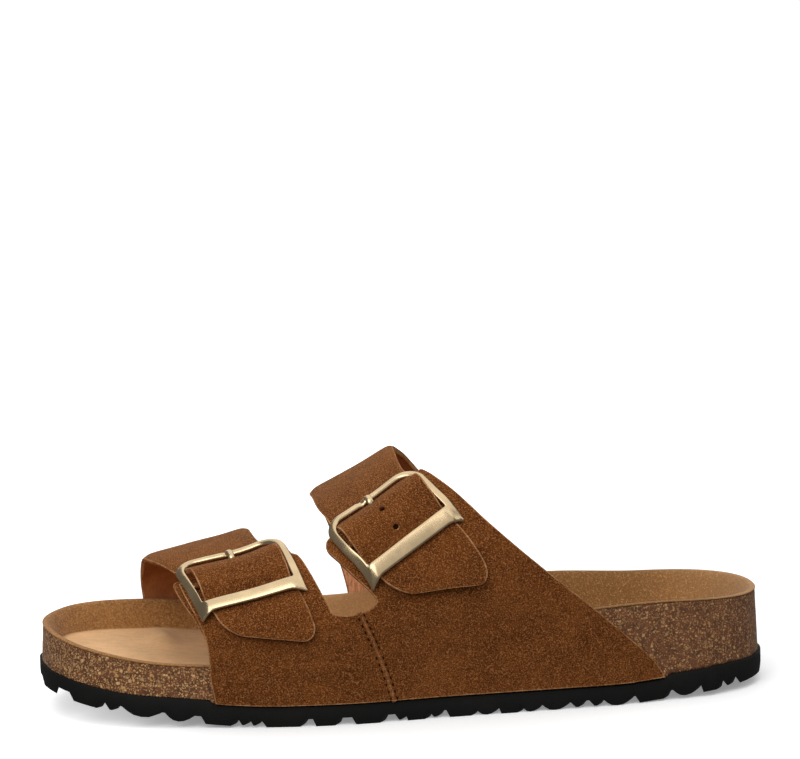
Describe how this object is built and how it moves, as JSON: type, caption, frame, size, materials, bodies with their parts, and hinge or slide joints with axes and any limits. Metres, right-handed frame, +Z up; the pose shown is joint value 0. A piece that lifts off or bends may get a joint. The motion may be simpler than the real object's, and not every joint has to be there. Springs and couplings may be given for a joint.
{
  "type": "slide sandal",
  "caption": "Left footbed slide sandal: suede straps with metal buckles over a contoured cork footbed with suede lining, on a foamed outsole with a lugged tread; slips on the bare foot.",
  "frame": {"origin": "middle of the shoe's box, on the ground plane under the tread", "axes": "+X from toe to heel, -Y towards the outer side of the foot, +Z up from the ground"},
  "size_m": [0.2612, 0.1008, 0.0896],
  "materials": {
    "outsole": "matte black foamed sole rubber",
    "cork": "sealed pressed cork with pale flecks",
    "lining": "tan suede, worn smooth on the floor",
    "suede": "brown suede with a short nap",
    "buckle": "pale gold, softly brushed"
  },
  "bodies": {
    "root": {"outsole": "outsole", "footbed": "cork", "insole": "lining", "upper": "suede", "buckle_front": "buckle", "buckle_rear": "buckle", "buckle_pin_front": "buckle", "buckle_pin_rear": "buckle"}
  },
  "joints": []
}
